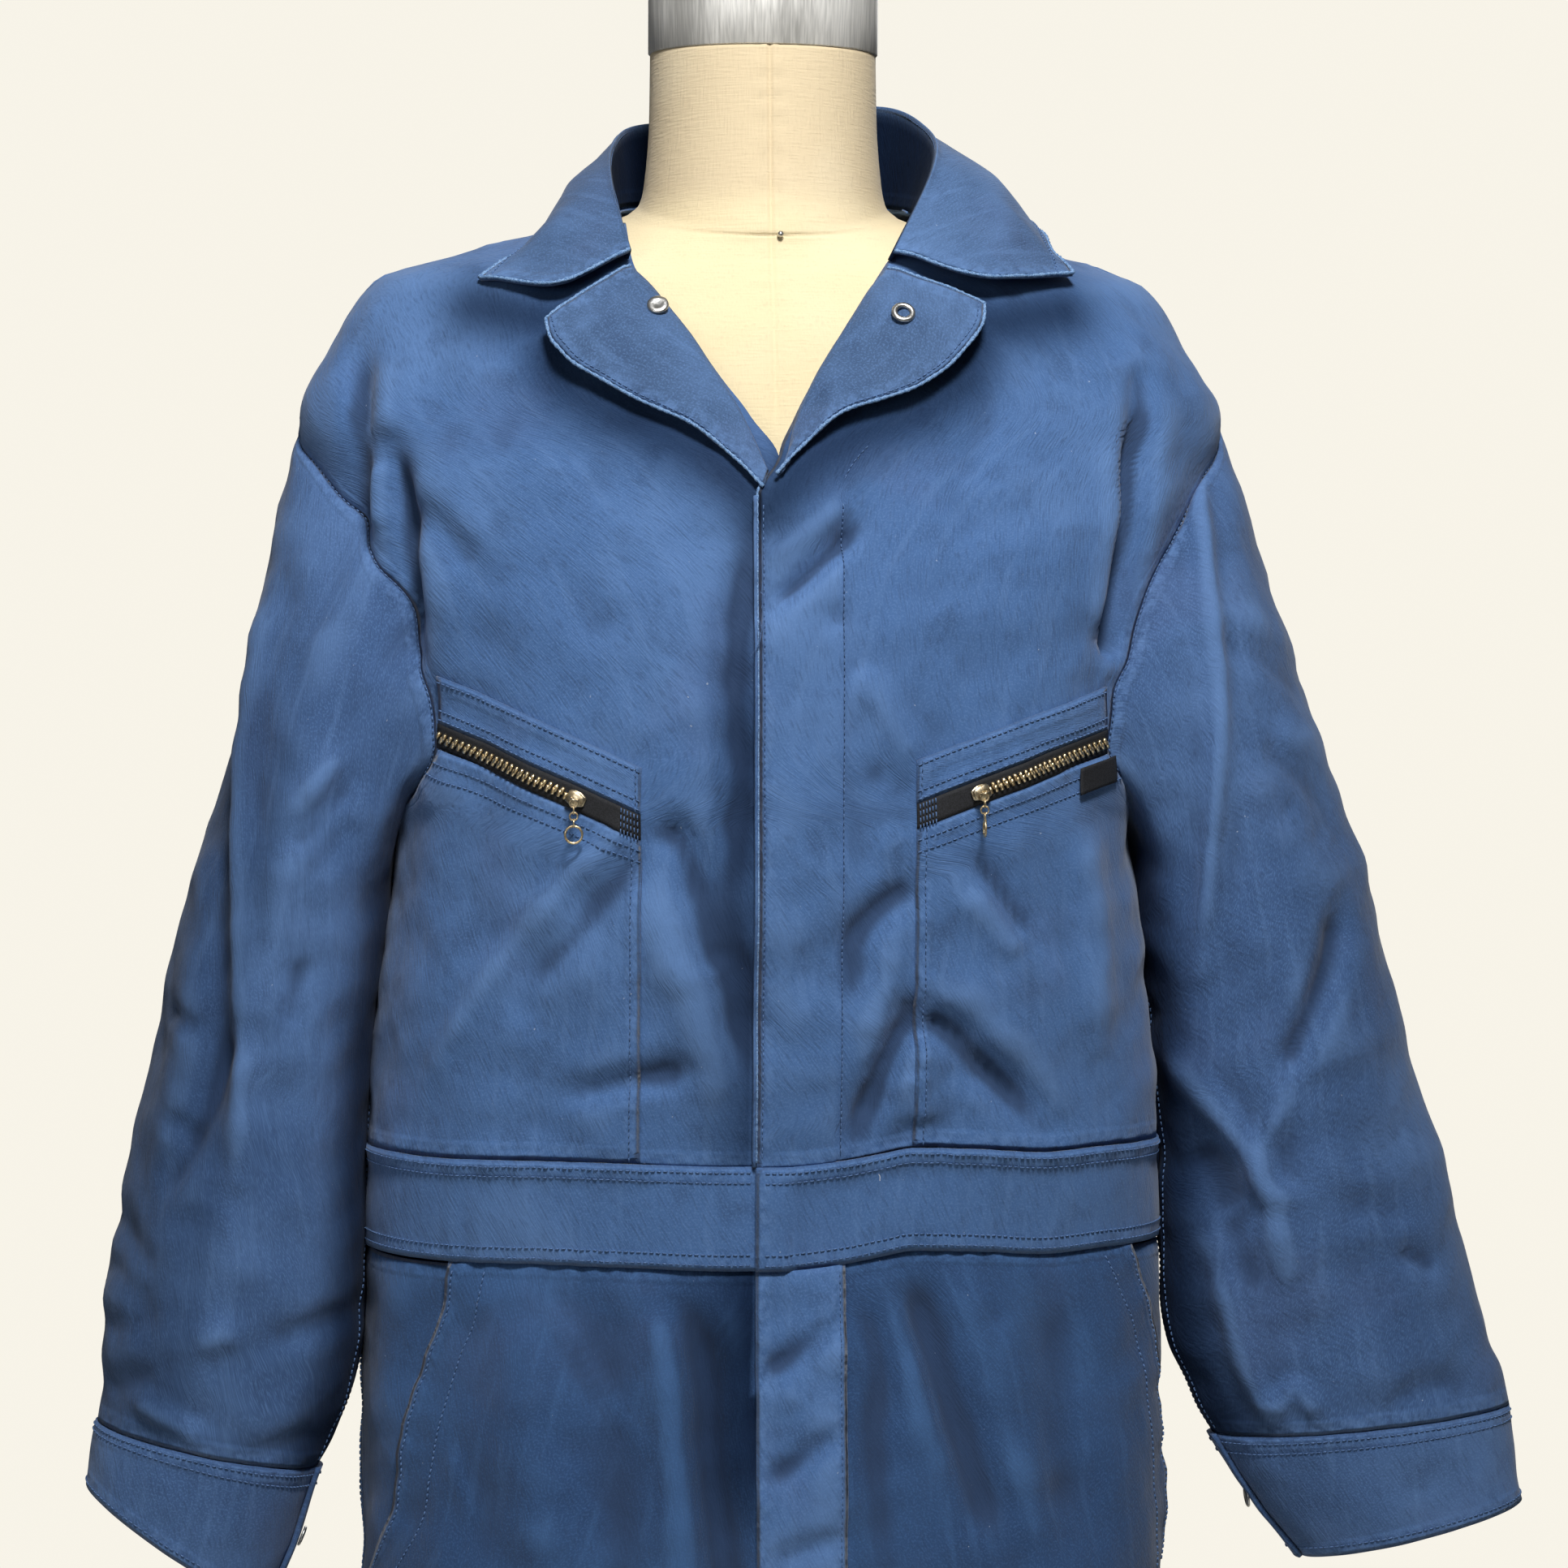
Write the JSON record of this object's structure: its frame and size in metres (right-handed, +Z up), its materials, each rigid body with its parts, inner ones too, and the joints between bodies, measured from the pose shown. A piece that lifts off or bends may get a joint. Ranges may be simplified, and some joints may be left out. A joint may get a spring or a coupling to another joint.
{
  "type": "boiler suit on limbless dress form",
  "caption": "Long-sleeved zip-front work boiler suit with turned-back lapels, worn on a limbless dress form with a pole and round foot.",
  "frame": {"origin": "on the floor, under the middle of the stand's pole", "axes": "+Z up, -Y towards the front of the garment, +X towards the wearer's left"},
  "size_m": [0.739, 0.42, 1.7411],
  "materials": {
    "navy_twill": "matte",
    "form_linen": "matte",
    "cap_steel": "brushed",
    "zip_brass": "aged",
    "snap_nickel": "worn nickel",
    "black_tape": "matte woven",
    "black_iron": "satin",
    "plate_wood": "satin"
  },
  "bodies": {
    "root": {"front_right": "navy_twill", "front_left": "navy_twill", "back": "navy_twill", "front_placket": "navy_twill", "waistband_right": "navy_twill", "waistband_left": "navy_twill", "waistband_back": "navy_twill", "lapel_right": "navy_twill", "lapel_left": "navy_twill", "collar": "navy_twill", "chest_pocket_right": "navy_twill", "chest_pocket_left": "navy_twill", "chest_welt_right": "navy_twill", "chest_welt_left": "navy_twill", "zip_tape_right": "black_tape", "zip_tape_left": "black_tape", "zip_teeth_right": "zip_brass", "zip_teeth_left": "zip_brass", "slider_right": "zip_brass", "slider_left": "zip_brass", "pocket_label": "black_tape", "leg_front_right": "navy_twill", "leg_front_left": "navy_twill", "leg_back_right": "navy_twill", "leg_back_left": "navy_twill", "hip_panel_right": "navy_twill", "hip_panel_left": "navy_twill", "fly_placket": "navy_twill", "sleeve_right": "navy_twill", "sleeve_left": "navy_twill", "cuff_right": "navy_twill", "cuff_left": "navy_twill", "cuff_snap_right": "snap_nickel", "cuff_snap_left": "snap_nickel", "neck_snap_cap": "snap_nickel", "neck_snap_socket": "snap_nickel", "form_torso": "form_linen", "neck_cap": "cap_steel", "neck_pin": "snap_nickel", "form_bottom_plate": "plate_wood", "pole_clamp": "black_iron", "clamp_knob": "black_iron", "pole": "cap_steel", "foot": "black_iron"},
    "pull_right": {"zip_pull_right": "zip_brass"},
    "pull_left": {"zip_pull_left": "zip_brass"}
  },
  "joints": [
    {"name": "pull_right_swing", "type": "hinge", "parent": "root", "child": "pull_right", "pos_m": [-0.09928, -0.13589, 1.31266], "axis": [-1, 0, 0], "range_deg": [0, 140]},
    {"name": "pull_left_swing", "type": "hinge", "parent": "root", "child": "pull_left", "pos_m": [0.09824, -0.13626, 1.31565], "axis": [-1, 0, 0], "range_deg": [0, 140]}
  ]
}
